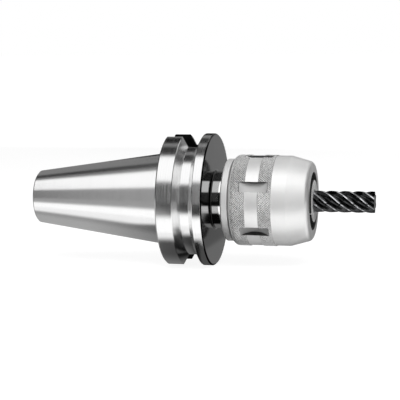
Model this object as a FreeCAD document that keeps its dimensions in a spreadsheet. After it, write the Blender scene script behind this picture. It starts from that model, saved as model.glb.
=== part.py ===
import FreeCAD, Part
import Sketcher
import math
import os

# Milling chuck with a 7/24 taper shank of size 50, its roller nut, a straight collet and an end mill.
# The frame has +X along the spindle axis towards the cutter, +Z up through a drive slot, and its
# origin where the axis meets the gauge plane of the taper. Lengths are millimetres, angles degrees.

SIZES = {
    # Taper shank and pull stud hole
    "gauge_radius": 34.925,
    "taper_rise": 7,
    "taper_run": 24,
    "taper_length": 101.8,
    "small_end_chamfer": 1.0,
    "relief_start": 0.8,
    "relief_radius": 34.2,
    "pilot_radius": 12.5,
    "pilot_depth": 6.0,
    "stud_thread_radius": 10.4,
    "stud_thread_depth": 58.0,
    "drill_point_angle": 59,
    "coolant_radius": 4.0,
    # Flange with its gripper groove and drive slots
    "flange_rear": 3.0,
    "flange_front": 38.0,
    "flange_radius": 50.0,
    "flange_chamfer": 1.0,
    "gripper_centre": 23.2,
    "gripper_width": 15.0,
    "gripper_flank": 30,
    "gripper_root_radius": 42.5,
    "slot_width": 25.7,
    "slot_floor": 35.4,
    "slot_front": 27.5,
    # Neck, collar and shoulder under the dust ring
    "neck_radius": 21.5,
    "neck_fillet": 1.2,
    "collar_rear": 47.9,
    "collar_front": 49.4,
    "collar_radius": 25.4,
    "shoulder_radius": 24.0,
    "shoulder_front": 64.4,
    # Clamping cylinder with its roller race, nose and bore
    "race_rear": 65.2,
    "race_front": 104.3,
    "race_radius_rear": 23.3,
    "race_radius_front": 22.8,
    "nose_radius": 20.0,
    "nose_front": 111.6,
    "nose_chamfer": 0.4,
    "bore_radius": 16.0,
    "bore_rear": 42.0,
    "preset_bore_radius": 12.5,
    "preset_bore_rear": 20.0,
    "preset_thread_radius": 8.0,
    "preset_thread_rear": -12.0,
    # Dust ring behind the nut
    "dust_ring_rear": 47.5,
    "dust_ring_front": 52.8,
    "dust_ring_radius": 31.0,
    "dust_ring_chamfer": 0.9,
    "spigot_front": 60.3,
    "spigot_radius": 27.3,
    "ring_play": 0.05,
    "collar_play": 0.2,
    # Clamping nut
    "nut_rear": 54.2,
    "nut_front": 112.6,
    "nut_rear_radius": 30.9,
    "nut_rear_rounding": 3.4,
    "knurl_radius": 34.3,
    "band_radius": 33.75,
    "knurl_edge": 0.4,
    "rear_knurl_front": 66.7,
    "front_knurl_rear": 75.7,
    "front_knurl_front": 86.2,
    "cone_rear": 96.5,
    "cone_angle": 15.8,
    "nut_nose_rounding": 4.0,
    "opening_radius": 21.5,
    "opening_chamfer": 0.5,
    "nut_bore_rear": 106.5,
    "counterbore_radius": 27.9,
    "counterbore_front": 61.2,
    "nut_land_radius": 26.9,
    "nut_race_rear": 65.0,
    "spanner_slot_count": 6,
    "spanner_slot_centre": 72.5,
    "spanner_slot_width": 8.2,
    "spanner_slot_depth": 4.5,
    "spanner_cutter_radius": 14.85,
    "nut_index_angle": 7,
    "nut_travel": 2.25,
    # Needle rollers and their cage
    "roller_radius": 1.5,
    "roller_length": 8.0,
    "roller_play": 0.03,
    "roller_rows": 4,
    "rollers_per_row": 15,
    "first_row": 71.3,
    "row_pitch": 9.3,
    "roller_skew": 0.55,
    "cage_rear": 66.0,
    "cage_front": 106.1,
    "cage_inner_radius": 23.8,
    "cage_outer_radius": 25.2,
    "cage_lip": 1.2,
    "cage_lip_radius": 20.4,
    "pocket_play": 0.01,
    # Snap rings, with a groove slightly wider than each ring
    "snap_ring_width": 1.0,
    "snap_groove_play": 0.05,
    "snap_ring_gap": 28,
    "shoulder_ring_rear": 60.4,
    "shoulder_groove_radius": 22.7,
    "shoulder_ring_radius": 25.7,
    "nut_ring_rear": 62.0,
    "nut_groove_radius": 27.6,
    "nut_ring_radius": 24.4,
    "stop_ring_rear": 107.4,
    "stop_groove_radius": 18.9,
    "stop_ring_radius": 21.2,
    # Seals
    "shoulder_seal_rear": 52.4,
    "shoulder_seal_width": 1.8,
    "shoulder_seal_depth": 1.2,
    "spigot_seal_rear": 57.4,
    "spigot_seal_width": 1.8,
    "spigot_seal_depth": 1.3,
    "wiper_rear": 109.3,
    "wiper_width": 1.5,
    "wiper_depth": 1.4,
    "wiper_lip": 0.5,
    "preset_seal_rear": 31.0,
    "preset_seal_width": 2.0,
    "preset_seal_depth": 1.5,
    "seal_play": 0.05,
    # Preset screw behind the shank
    "screw_head_front": 44.0,
    "screw_head_rear": 24.5,
    "screw_rear": -4.0,
    "screw_head_play": 0.1,
    "screw_thread_play": 0.05,
    "socket_flats": 10.0,
    "socket_depth": 9.0,
    "screw_coolant_radius": 2.5,
    "screw_chamfer": 0.8,
    # Straight collet
    "collet_front": 113.2,
    "collet_length": 60.0,
    "collet_chamfer": 0.5,
    "slit_width": 1.2,
    "slit_length": 50.0,
    "slits_each_end": 3,
    # End mill
    "cutter_radius": 8.0,
    "cutter_tip": 158.2,
    "cutter_length": 102.0,
    "cutter_shank_chamfer": 0.6,
    "flute_count": 6,
    "flute_lead": 60.0,
    "flute_start": 111.8,
    "flute_full": 117.8,
    "flute_depth": 2.5,
    "flute_step": 2.0,
}

doc = FreeCAD.newDocument("MillingChuck")


class Size:
    """A dimension that carries its value and the spreadsheet formula behind it."""

    def __init__(self, value, text):
        self.value = value
        self.text = text

    def __add__(self, other):
        return joined(self, "+", other)

    def __radd__(self, other):
        return joined(other, "+", self)

    def __sub__(self, other):
        return joined(self, "-", other)

    def __rsub__(self, other):
        return joined(other, "-", self)

    def __mul__(self, other):
        return joined(self, "*", other)

    def __rmul__(self, other):
        return joined(other, "*", self)

    def __truediv__(self, other):
        return joined(self, "/", other)

    def __neg__(self):
        return joined(0, "-", self)


def as_size(number):
    """Gives a plain number the form of a Size."""
    return number if isinstance(number, Size) else Size(float(number), str(number))


def joined(left, sign, right):
    """Combines two sizes, value and formula alike."""
    left, right = as_size(left), as_size(right)
    results = {"+": left.value + right.value, "-": left.value - right.value, "*": left.value * right.value}
    value = left.value / right.value if sign == "/" else results[sign]
    return Size(value, "(" + left.text + " " + sign + " " + right.text + ")")


def sine(angle):
    return Size(math.sin(math.radians(angle.value)), "sin(" + angle.text + ")")


def cosine(angle):
    return Size(math.cos(math.radians(angle.value)), "cos(" + angle.text + ")")


def tangent(angle):
    return Size(math.tan(math.radians(angle.value)), "tan(" + angle.text + ")")


def make_sheet():
    """Writes the driving dimensions into the document's spreadsheet, one named cell each."""
    table = doc.addObject("Spreadsheet::Sheet", "Sizes")
    for row, (name, number) in enumerate(SIZES.items(), start=1):
        table.set("A%d" % row, name)
        table.set("B%d" % row, str(number))
        table.setAlias("B%d" % row, name)
    doc.recompute()
    return table


sheet = make_sheet()


def size(name):
    """A driving dimension, read from its cell."""
    return Size(float(sheet.get(name)), "Sizes." + name)


def bind(thing, prop, wanted):
    """Ties a property of an object to a formula on the spreadsheet."""
    thing.setExpression(prop, as_size(wanted).text)


def new_body(name):
    body = doc.addObject("PartDesign::Body", name)
    body.Label = name
    return body


def plane_of(body, role):
    return next(item for item in body.Origin.OriginFeatures if item.Role == role)


def arc_between(start, end, radius, bulge):
    """An arc of a given radius from start to end; bulge is the side of the chord that it lies on."""
    chord = end - start
    half = chord.Length / 2
    rise = radius - math.sqrt(max(radius * radius - half * half, 0))
    normal = FreeCAD.Vector(-chord.y, chord.x, 0).normalize()
    return Part.Arc(start, start + chord / 2 + normal * rise * bulge, end)


def draw_outline(sketch, outline):
    """Draws one closed outline and ties every corner to the spreadsheet.

    A corner is (along, across), or (along, across, radius, bulge) where an arc leads to the next one.
    """
    corners = [(as_size(corner[0]), as_size(corner[1])) for corner in outline]
    places = [FreeCAD.Vector(along.value, across.value, 0) for along, across in corners]
    count = len(places)
    first_edge = sketch.GeometryCount
    ends = []
    for index, corner in enumerate(outline):
        start, end = places[index], places[(index + 1) % count]
        if len(corner) == 4:
            shape = arc_between(start, end, as_size(corner[2]).value, corner[3])
        else:
            shape = Part.LineSegment(start, end)
        edge = sketch.addGeometry(shape, False)
        forward = (sketch.getPoint(edge, 1) - start).Length < (sketch.getPoint(edge, 2) - start).Length
        ends.append((1, 2) if forward else (2, 1))
        if len(corner) == 4:
            limit = sketch.addConstraint(Sketcher.Constraint("Radius", edge, as_size(corner[2]).value))
            sketch.renameConstraint(limit, "arc_%d" % edge)
            bind(sketch, "Constraints.arc_%d" % edge, corner[2])
    for index, (along, across) in enumerate(corners):
        edge = first_edge + index
        before = first_edge + (index - 1) % count
        sketch.addConstraint(Sketcher.Constraint("Coincident", before, ends[index - 1][1], edge, ends[index][0]))
        for kind, letter, wanted in (("DistanceX", "x", along), ("DistanceY", "y", across)):
            rule = Sketcher.Constraint(kind, -1, 1, edge, ends[index][0], wanted.value)
            limit = sketch.addConstraint(rule)
            sketch.renameConstraint(limit, "%s_%d" % (letter, edge))
            bind(sketch, "Constraints.%s_%d" % (letter, edge), wanted)


def new_sketch(body, name, role, outlines=()):
    """A sketch on one of the body's own origin planes, with any number of closed outlines."""
    sketch = body.newObject("Sketcher::SketchObject", name)
    sketch.AttachmentSupport = (plane_of(body, role), [""])
    sketch.MapMode = "FlatFace"
    for outline in outlines:
        draw_outline(sketch, outline)
    return sketch


def draw_circle(sketch, along, across, radius):
    """Draws a circle tied to the spreadsheet."""
    centre = FreeCAD.Vector(along.value, across.value, 0)
    edge = sketch.addGeometry(Part.Circle(centre, FreeCAD.Vector(0, 0, 1), radius.value), False)
    rules = {
        "centre_x": (Sketcher.Constraint("DistanceX", -1, 1, edge, 3, along.value), along),
        "centre_y": (Sketcher.Constraint("DistanceY", -1, 1, edge, 3, across.value), across),
        "radius": (Sketcher.Constraint("Radius", edge, radius.value), radius),
    }
    for name, (rule, wanted) in rules.items():
        sketch.renameConstraint(sketch.addConstraint(rule), name)
        bind(sketch, "Constraints." + name, wanted)


def turned(name, outline, sweep=360):
    """A body turned about the X axis from its half section in the XZ plane."""
    body = new_body(name)
    sketch = new_sketch(body, name + "_section", "XZ_Plane", [outline])
    turn = body.newObject("PartDesign::Revolution", name + "_turning")
    turn.Profile = sketch
    turn.ReferenceAxis = (sketch, ["H_Axis"])
    bind(turn, "Angle", sweep)
    sketch.Visibility = False
    doc.recompute()
    return body


def cut(body, name, sketch, length, midplane=False, reverse=False):
    """A pocket of a set length, checked to have taken material away."""
    before = body.Shape.Volume
    pocket = body.newObject("PartDesign::Pocket", name)
    pocket.Profile = sketch
    pocket.Midplane = midplane
    pocket.Reversed = reverse
    bind(pocket, "Length", length)
    doc.recompute()
    if body.Shape.Volume >= before:
        raise ValueError(name + " cuts nothing")
    return pocket


def repeat_round_axis(body, name, feature, count):
    """A polar pattern of a feature about the X axis."""
    pattern = body.newObject("PartDesign::PolarPattern", name)
    pattern.Originals = [feature]
    pattern.Axis = (plane_of(body, "X_Axis"), [""])
    pattern.Angle = 360
    bind(pattern, "Occurrences", count)
    body.Tip = pattern
    doc.recompute()
    return pattern


def turn_about_axis(body, angle):
    """Turns a finished body about the X axis."""
    body.Placement = FreeCAD.Placement(FreeCAD.Vector(), FreeCAD.Rotation(FreeCAD.Vector(1, 0, 0), 1))
    bind(body, "Placement.Rotation.Angle", angle)


def ring_groove(rear, width, bottom, land):
    """The four corners of a groove in a turned land, from the rear wall to the front wall."""
    front = rear + width
    return [(rear, land), (rear, bottom), (front, bottom), (front, land)]


def snap_groove(rear, bottom, land):
    """The corners of a snap ring's groove, wider than the ring by the play at each side."""
    play = size("snap_groove_play")
    return ring_groove(rear - play, size("snap_ring_width") + 2 * play, bottom, land)


def race_radius(place):
    """Radius of the clamping cylinder's slightly tapered race at a place along the axis."""
    fall = size("race_radius_rear") - size("race_radius_front")
    return size("race_radius_rear") - fall * (place - size("race_rear")) / (size("race_front") - size("race_rear"))


def nut_race_radius(place):
    """Radius of the nut's race, one roller and its play outside the cylinder's race."""
    return race_radius(place) + 2 * size("roller_radius") + 2 * size("roller_play")


def make_chuck_body():
    """Shank, flange and clamping cylinder, turned and ground from one forging."""
    rim, chamfer = size("flange_radius"), size("flange_chamfer")
    rear, front = size("flange_rear"), size("flange_front")
    small_end = -size("taper_length")
    taper = size("taper_rise") / (2 * size("taper_run"))
    small_radius = size("gauge_radius") - size("taper_length") * taper
    end_chamfer = size("small_end_chamfer")
    root = size("gripper_root_radius")
    half_rim = size("gripper_width") / 2
    half_root = half_rim - (rim - root) * tangent(size("gripper_flank"))
    centre = size("gripper_centre")
    fillet = size("neck_fillet")
    neck, collar = size("neck_radius"), size("collar_radius")
    shoulder, nose = size("shoulder_radius"), size("nose_radius")
    nose_front, nose_chamfer = size("nose_front"), size("nose_chamfer")
    bore, preset_bore = size("bore_radius"), size("preset_bore_radius")
    thread, coolant = size("preset_thread_radius"), size("coolant_radius")
    stud, pilot = size("stud_thread_radius"), size("pilot_radius")
    stud_bottom = small_end + size("stud_thread_depth")
    drill_point = (stud - coolant) / tangent(size("drill_point_angle"))
    outline = [
        (small_end, small_radius - end_chamfer),
        (small_end + end_chamfer, small_radius + end_chamfer * taper),
        (0, size("gauge_radius")),
        (size("relief_start"), size("relief_radius")),
        (rear, size("relief_radius")),
        (rear, rim - chamfer),
        (rear + chamfer, rim),
        (centre - half_rim, rim),
        (centre - half_root, root),
        (centre + half_root, root),
        (centre + half_rim, rim),
        (front - chamfer, rim),
        (front, rim - chamfer),
        (front, neck + fillet, fillet, -1),
        (front + fillet, neck),
        (size("collar_rear"), neck),
        (size("collar_rear"), collar),
        (size("collar_front"), collar),
        (size("collar_front"), shoulder),
    ]
    seal_bottom = shoulder - size("shoulder_seal_depth")
    outline += ring_groove(size("shoulder_seal_rear"), size("shoulder_seal_width"), seal_bottom, shoulder)
    outline += snap_groove(size("shoulder_ring_rear"), size("shoulder_groove_radius"), shoulder)
    outline += [
        (size("shoulder_front"), shoulder),
        (size("race_rear"), size("race_radius_rear")),
        (size("race_front"), size("race_radius_front")),
        (size("race_front"), nose),
    ]
    outline += snap_groove(size("stop_ring_rear"), size("stop_groove_radius"), nose)
    outline += ring_groove(size("wiper_rear"), size("wiper_width"), nose - size("wiper_depth"), nose)
    outline += [
        (nose_front - nose_chamfer, nose),
        (nose_front, nose - nose_chamfer),
        (nose_front, bore + nose_chamfer),
        (nose_front - nose_chamfer, bore),
        (size("bore_rear"), bore),
        (size("bore_rear"), preset_bore),
        (size("preset_bore_rear"), preset_bore),
        (size("preset_bore_rear"), thread),
        (size("preset_thread_rear"), thread),
        (size("preset_thread_rear"), coolant),
        (stud_bottom + drill_point, coolant),
        (stud_bottom, stud),
        (small_end + size("pilot_depth"), stud),
        (small_end + size("pilot_depth"), pilot),
        (small_end, pilot),
    ]
    body = turned("chuck_body", outline)
    half_width = size("slot_width") / 2
    slots = []
    for side in (1, -1):
        floor, outside = side * size("slot_floor"), side * (rim + chamfer)
        slots.append([(-half_width, floor), (half_width, floor), (half_width, outside), (-half_width, outside)])
    sketch = new_sketch(body, "drive_slots_section", "YZ_Plane", slots)
    cut(body, "drive_slots", sketch, size("slot_front"), reverse=True)
    return body


def make_dust_ring():
    """The ring behind the nut, with the spigot that enters the nut's counterbore."""
    rear, front, chamfer = size("dust_ring_rear"), size("dust_ring_front"), size("dust_ring_chamfer")
    rim, spigot = size("dust_ring_radius"), size("spigot_radius")
    bore = size("shoulder_radius") + size("ring_play")
    recess = size("collar_radius") + size("collar_play")
    recess_front = size("collar_front") + size("ring_play")
    outline = [
        (rear, rim - chamfer),
        (rear + chamfer, rim),
        (front, rim),
        (front, spigot),
    ]
    seal_bottom = spigot - size("spigot_seal_depth")
    outline += ring_groove(size("spigot_seal_rear"), size("spigot_seal_width"), seal_bottom, spigot)
    outline += [
        (size("spigot_front"), spigot),
        (size("spigot_front"), bore),
        (recess_front, bore),
        (recess_front, recess),
        (rear, recess),
    ]
    return turned("rear_dust_ring", outline)


def make_nut():
    """The clamping nut, with two knurled bands, a smooth band between them and spanner slots."""
    rear, front = size("nut_rear"), size("nut_front")
    knurl, band, edge = size("knurl_radius"), size("band_radius"), size("knurl_edge")
    rounding, nose_rounding = size("nut_rear_rounding"), size("nut_nose_rounding")
    angle = size("cone_angle")
    arc_centre = front - nose_rounding
    cone_radius = band - (arc_centre - size("cone_rear")) * tangent(angle)
    arc_height = cone_radius - nose_rounding / cosine(angle)
    tangent_place = arc_centre + nose_rounding * sine(angle)
    tangent_radius = arc_height + nose_rounding * cosine(angle)
    opening, chamfer = size("opening_radius"), size("opening_chamfer")
    outline = [
        (rear, size("nut_rear_radius"), rounding, 1),
        (rear + rounding, knurl),
        (size("rear_knurl_front") - edge, knurl),
        (size("rear_knurl_front"), band),
        (size("front_knurl_rear"), band),
        (size("front_knurl_rear") + edge, knurl),
        (size("front_knurl_front") - edge, knurl),
        (size("front_knurl_front"), band),
        (size("cone_rear"), band),
        (tangent_place, tangent_radius, nose_rounding, 1),
        (front, arc_height),
        (front, opening + chamfer),
        (front - chamfer, opening),
        (size("nut_bore_rear"), opening),
        (size("nut_bore_rear"), nut_race_radius(size("nut_bore_rear"))),
        (size("nut_race_rear"), nut_race_radius(size("nut_race_rear"))),
        (size("nut_race_rear"), size("nut_land_radius")),
    ]
    outline += reversed(snap_groove(size("nut_ring_rear"), size("nut_groove_radius"), size("nut_land_radius")))
    outline += [
        (size("counterbore_front"), size("nut_land_radius")),
        (size("counterbore_front"), size("counterbore_radius")),
        (rear, size("counterbore_radius")),
    ]
    body = turned("clamping_nut", outline)
    cutter = size("spanner_cutter_radius")
    centre_height = band - size("spanner_slot_depth") + cutter
    sketch = new_sketch(body, "spanner_slot_section", "XZ_Plane")
    draw_circle(sketch, size("spanner_slot_centre"), centre_height, cutter)
    slot = cut(body, "spanner_slot", sketch, size("spanner_slot_width"), midplane=True)
    repeat_round_axis(body, "spanner_slots", slot, size("spanner_slot_count"))
    turn_about_axis(body, size("nut_index_angle"))
    return body


def make_snap_ring(name, rear, inner, outer):
    """An open ring of flat section, with its gap at the bottom."""
    front = rear + size("snap_ring_width")
    outline = [(rear, inner), (rear, outer), (front, outer), (front, inner)]
    body = turned(name, outline, 360 - size("snap_ring_gap"))
    turn_about_axis(body, 180 + size("snap_ring_gap") / 2)
    return body


def make_seal(name, rear, width, inner, outer):
    """A rubber ring of square section with its outer edges taken off."""
    front, edge = rear + width, width / 4
    outline = [(rear, inner), (rear, outer - edge), (rear + edge, outer), (front - edge, outer)]
    return turned(name, outline + [(front, outer - edge), (front, inner)])


def make_wiper():
    """The wiper in the cylinder's nose, with a thin lip that sweeps the nut's bore."""
    rear, lip = size("wiper_rear"), size("wiper_lip")
    front = rear + size("wiper_width")
    inner, nose = size("nose_radius") - size("wiper_depth"), size("nose_radius")
    outer = size("opening_radius") - size("seal_play")
    outline = [(rear, inner), (rear, nose), (front - lip, outer), (front, outer), (front, inner)]
    return turned("front_wiper_seal", outline)


def make_cage():
    """The roller cage: a thin sleeve with an inward lip at its front and skewed pockets in rows."""
    rear, front = size("cage_rear"), size("cage_front")
    inner, outer = size("cage_inner_radius"), size("cage_outer_radius")
    lip_rear, lip_radius = front - size("cage_lip"), size("cage_lip_radius")
    outline = [
        (rear, inner),
        (rear, outer),
        (front, outer),
        (front, lip_radius),
        (lip_rear, lip_radius),
        (lip_rear, inner),
    ]
    body = turned("roller_cage", outline)
    half_length = size("roller_length") / 2 + size("pocket_play")
    half_width = size("roller_radius") + size("pocket_play")
    lean = size("roller_skew")
    pockets = []
    for row in range(SIZES["roller_rows"]):
        centre = size("first_row") + row * size("row_pitch")
        pocket = []
        for end, side in ((-1, -1), (1, -1), (1, 1), (-1, 1)):
            along = centre + end * half_length * cosine(lean) - side * half_width * sine(lean)
            across = end * half_length * sine(lean) + side * half_width * cosine(lean)
            pocket.append((along, across))
        pockets.append(pocket)
    sketch = new_sketch(body, "pocket_rows", "XY_Plane", pockets)
    column = cut(body, "pocket_column", sketch, 2 * outer, reverse=True)
    repeat_round_axis(body, "pockets", column, size("rollers_per_row"))
    return body


def make_roller_row(row):
    """One ring of rollers, each leaning with the race and skewed so that the nut creeps as it turns."""
    name = "needle_rollers_row_%d" % (row + 1)
    roller = doc.addObject("Part::Cylinder", "roller_of_row_%d" % (row + 1))
    bind(roller, "Radius", size("roller_radius"))
    bind(roller, "Height", size("roller_length"))
    doc.recompute()
    centre = size("first_row").value + row * size("row_pitch").value
    race_start, race_end = race_radius(size("race_rear")).value, race_radius(size("race_front")).value
    slope = math.atan2(race_end - race_start, size("race_front").value - size("race_rear").value)
    stand_off = (size("roller_radius").value + size("roller_play").value) / math.cos(slope)
    height = race_radius(as_size(centre)).value + stand_off
    count = SIZES["rollers_per_row"]
    axis, radial = FreeCAD.Vector(1, 0, 0), FreeCAD.Vector(0, 0, 1)
    upright = FreeCAD.Placement(FreeCAD.Vector(0, 0, -size("roller_length").value / 2), FreeCAD.Rotation())
    along_axis = FreeCAD.Rotation(FreeCAD.Vector(0, 1, 0), 90 - math.degrees(slope))
    skewed = FreeCAD.Rotation(radial, size("roller_skew").value)
    seat = FreeCAD.Placement(FreeCAD.Vector(centre, 0, height), skewed.multiply(along_axis))
    rollers = []
    for index in range(count):
        turn = FreeCAD.Placement(FreeCAD.Vector(), FreeCAD.Rotation(axis, 360.0 * index / count))
        copy = roller.Shape.copy()
        copy.Placement = turn.multiply(seat).multiply(upright)
        rollers.append(copy)
    group = doc.addObject("Part::Feature", name)
    group.Label = name
    group.Shape = Part.makeCompound(rollers)
    group.Placement = FreeCAD.Placement()
    return group


def make_preset_screw():
    """The hollow length-setting screw behind the shank: head, seal groove, thread and hexagon socket."""
    front, head_rear, rear = size("screw_head_front"), size("screw_head_rear"), size("screw_rear")
    head = size("preset_bore_radius") - size("screw_head_play")
    thread = size("preset_thread_radius") - size("screw_thread_play")
    hole, chamfer = size("screw_coolant_radius"), size("screw_chamfer")
    outline = [
        (rear, thread - chamfer),
        (rear + chamfer, thread),
        (head_rear, thread),
        (head_rear, head),
    ]
    seal_bottom = head - size("preset_seal_depth")
    outline += ring_groove(size("preset_seal_rear"), size("preset_seal_width"), seal_bottom, head)
    outline += [
        (front - chamfer, head),
        (front, head - chamfer),
        (front, hole),
        (rear, hole),
    ]
    body = turned("preset_screw", outline)
    half_flats = size("socket_flats") / 2
    half_corner = half_flats / cosine(as_size(30))
    hexagon = [
        (half_flats, half_corner / 2),
        (0, half_corner),
        (-half_flats, half_corner / 2),
        (-half_flats, -half_corner / 2),
        (0, -half_corner),
        (half_flats, -half_corner / 2),
    ]
    sketch = new_sketch(body, "socket_section", "YZ_Plane", [hexagon])
    bind(sketch, "AttachmentOffset.Base.z", front - size("socket_depth"))
    cut(body, "hexagon_socket", sketch, size("socket_depth"), reverse=True)
    return body


def make_collet():
    """The straight reducing collet, slit in turn from its front and from its rear end."""
    front, chamfer = size("collet_front"), size("collet_chamfer")
    rear = front - size("collet_length")
    outer, inner = size("bore_radius"), size("cutter_radius")
    outline = [
        (rear, inner),
        (rear, outer - chamfer),
        (rear + chamfer, outer),
        (front - chamfer, outer),
        (front, outer - chamfer),
        (front, inner + chamfer),
        (front - chamfer, inner),
    ]
    body = turned("straight_collet", outline)
    half_slit, outside = size("slit_width") / 2, outer + chamfer
    count = SIZES["slits_each_end"]
    reach = size("slit_length")
    ends = (("front_slit", front - reach, front, 0), ("rear_slit", rear, rear + reach, 180.0 / count))
    for name, start, stop, turn in ends:
        slit = [(start, 0), (stop, 0), (stop, outside), (start, outside)]
        sketch = new_sketch(body, name + "_section", "XZ_Plane", [slit])
        sketch.AttachmentOffset = FreeCAD.Placement(
            FreeCAD.Vector(), FreeCAD.Rotation(FreeCAD.Vector(1, 0, 0), turn)
        )
        slit_cut = cut(body, name, sketch, 2 * half_slit, midplane=True)
        repeat_round_axis(body, name + "s", slit_cut, size("slits_each_end"))
    return body


def flute_section(place, turn, depth_share):
    """Corners of the cutter's section at a place along the axis: land, heel and flute of each tooth."""
    radius = size("cutter_radius").value
    depth = size("flute_depth").value * depth_share
    count = SIZES["flute_count"]
    pitch = 360.0 / count
    tooth = ((0.0, 0.0), (0.22, 0.05), (0.45, 0.7), (0.7, 1.0), (0.9, 0.55))
    corners = []
    for index in range(count):
        for share, drop in tooth:
            angle = math.radians(turn + pitch * (index + share))
            reach = radius - depth * drop
            corners.append(FreeCAD.Vector(place, reach * math.cos(angle), reach * math.sin(angle)))
    return corners


def flat_face(*corners):
    return Part.Face(Part.makePolygon(list(corners) + [corners[0]]))


def fluted_length(start, tip, full):
    """The fluted solid, as flat facets that follow the helix from section to section."""
    steps = round((tip - start) / size("flute_step").value)
    sections = []
    for index in range(steps + 1):
        place = start + (tip - start) * index / steps
        turn = 360.0 * (place - start) / size("flute_lead").value
        depth_share = min(1.0, (place - start) / (full - start))
        sections.append(flute_section(place, turn, depth_share))
    faces = [flat_face(*sections[0]), flat_face(*sections[-1])]
    for near, far in zip(sections, sections[1:]):
        for index in range(len(near)):
            after = (index + 1) % len(near)
            faces.append(flat_face(near[index], near[after], far[after]))
            faces.append(flat_face(near[index], far[after], far[index]))
    return Part.Solid(Part.makeShell(faces))


def make_end_mill():
    """The end mill: a cylindrical shank and right-hand flutes that grow to full depth from it."""
    tip, length = size("cutter_tip").value, size("cutter_length").value
    radius, chamfer = size("cutter_radius").value, size("cutter_shank_chamfer").value
    start, full = size("flute_start").value, size("flute_full").value
    axis = FreeCAD.Vector(1, 0, 0)
    rear = FreeCAD.Vector(tip - length, 0, 0)
    cone = Part.makeCone(radius - chamfer, radius, chamfer, rear, axis)
    shank = Part.makeCylinder(radius, start - rear.x - chamfer, rear + axis * chamfer, axis)
    mill = doc.addObject("Part::Feature", "end_mill")
    mill.Label = "end_mill"
    mill.Shape = cone.fuse([shank, fluted_length(start, tip, full)])
    mill.Placement = FreeCAD.Placement()
    return mill


def make_seals():
    """The three square rubber rings, at the shoulder, on the spigot and on the preset screw."""
    play = size("seal_play")
    shoulder, spigot = size("shoulder_radius"), size("spigot_radius")
    head = size("preset_bore_radius") - size("screw_head_play")
    return [
        make_seal(
            "shoulder_seal_ring",
            size("shoulder_seal_rear"),
            size("shoulder_seal_width"),
            shoulder - size("shoulder_seal_depth"),
            shoulder + size("ring_play") / 2,
        ),
        make_seal(
            "spigot_seal_ring",
            size("spigot_seal_rear"),
            size("spigot_seal_width"),
            spigot - size("spigot_seal_depth"),
            size("counterbore_radius") - play,
        ),
        make_seal(
            "preset_seal_ring",
            size("preset_seal_rear"),
            size("preset_seal_width"),
            head - size("preset_seal_depth"),
            size("preset_bore_radius") - play,
        ),
    ]


def make_snap_rings():
    """The rings that hold the dust ring, the roller cage in the nut, and the cage on the nose."""
    return [
        make_snap_ring(
            "dust_ring_snap_ring",
            size("shoulder_ring_rear"),
            size("shoulder_groove_radius"),
            size("shoulder_ring_radius"),
        ),
        make_snap_ring(
            "nut_retaining_ring", size("nut_ring_rear"), size("nut_ring_radius"), size("nut_groove_radius")
        ),
        make_snap_ring(
            "cage_stop_ring", size("stop_ring_rear"), size("stop_groove_radius"), size("stop_ring_radius")
        ),
    ]


def check_document():
    """Stops if any object failed, though the document recomputed without an error."""
    for item in doc.Objects:
        if "Invalid" in item.State or "Error" in item.State:
            raise ValueError(item.Name + " failed: " + ", ".join(item.State))


def write_parts(pieces):
    """Writes each sub-part to a file of its own, after checking its shape."""
    os.makedirs("parts", exist_ok=True)
    for piece in pieces:
        if piece.Shape.isNull() or not piece.Shape.isValid():
            raise ValueError(piece.Label + " has no valid shape")
        piece.Shape.exportStep("parts/" + piece.Label + ".step")


pieces = [make_chuck_body(), make_dust_ring(), make_nut(), make_cage()]
pieces += [make_roller_row(row) for row in range(SIZES["roller_rows"])]
pieces += make_snap_rings() + make_seals()
pieces += [make_wiper(), make_preset_screw(), make_collet(), make_end_mill()]
doc.recompute()
check_document()
write_parts(pieces)
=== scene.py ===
import math

import bmesh
import bpy
from mathutils import Euler, Matrix, Vector


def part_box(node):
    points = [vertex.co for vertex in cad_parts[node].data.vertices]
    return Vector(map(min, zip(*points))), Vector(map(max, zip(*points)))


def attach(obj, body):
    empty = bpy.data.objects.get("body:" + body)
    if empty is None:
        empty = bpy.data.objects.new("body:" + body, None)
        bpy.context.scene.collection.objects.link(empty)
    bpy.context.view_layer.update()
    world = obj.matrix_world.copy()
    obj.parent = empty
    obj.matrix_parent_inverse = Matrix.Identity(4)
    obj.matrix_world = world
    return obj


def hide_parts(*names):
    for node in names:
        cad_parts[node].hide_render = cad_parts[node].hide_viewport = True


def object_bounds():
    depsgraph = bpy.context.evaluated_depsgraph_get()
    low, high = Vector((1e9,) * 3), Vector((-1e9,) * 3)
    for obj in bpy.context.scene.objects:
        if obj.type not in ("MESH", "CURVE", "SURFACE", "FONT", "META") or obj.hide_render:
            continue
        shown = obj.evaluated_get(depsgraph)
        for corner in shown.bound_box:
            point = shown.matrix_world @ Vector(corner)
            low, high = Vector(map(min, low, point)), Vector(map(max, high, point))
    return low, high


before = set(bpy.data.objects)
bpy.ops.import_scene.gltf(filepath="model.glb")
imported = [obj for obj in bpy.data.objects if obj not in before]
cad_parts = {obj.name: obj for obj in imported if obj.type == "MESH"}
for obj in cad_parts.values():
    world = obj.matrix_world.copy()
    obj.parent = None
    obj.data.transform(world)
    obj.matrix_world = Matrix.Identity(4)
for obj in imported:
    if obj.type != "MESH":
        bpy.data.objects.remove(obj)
cad_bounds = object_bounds()

# Sizes in millimetres. X runs along the spindle axis from the gauge plane towards the cutter.
MM = 0.001
FULL_TURN = 2 * math.pi
ROUND_STEPS = 192
KNURL_STEPS = 126
TINY = 0.001
SMOOTH_ANGLE = math.radians(14)
HOLD = 0.25
CLEAR = 5.0

shank_box, nut_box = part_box("chuck_body"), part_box("clamping_nut")
ring_box, mill_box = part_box("rear_dust_ring"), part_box("end_mill")
collet_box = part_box("straight_collet")

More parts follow.
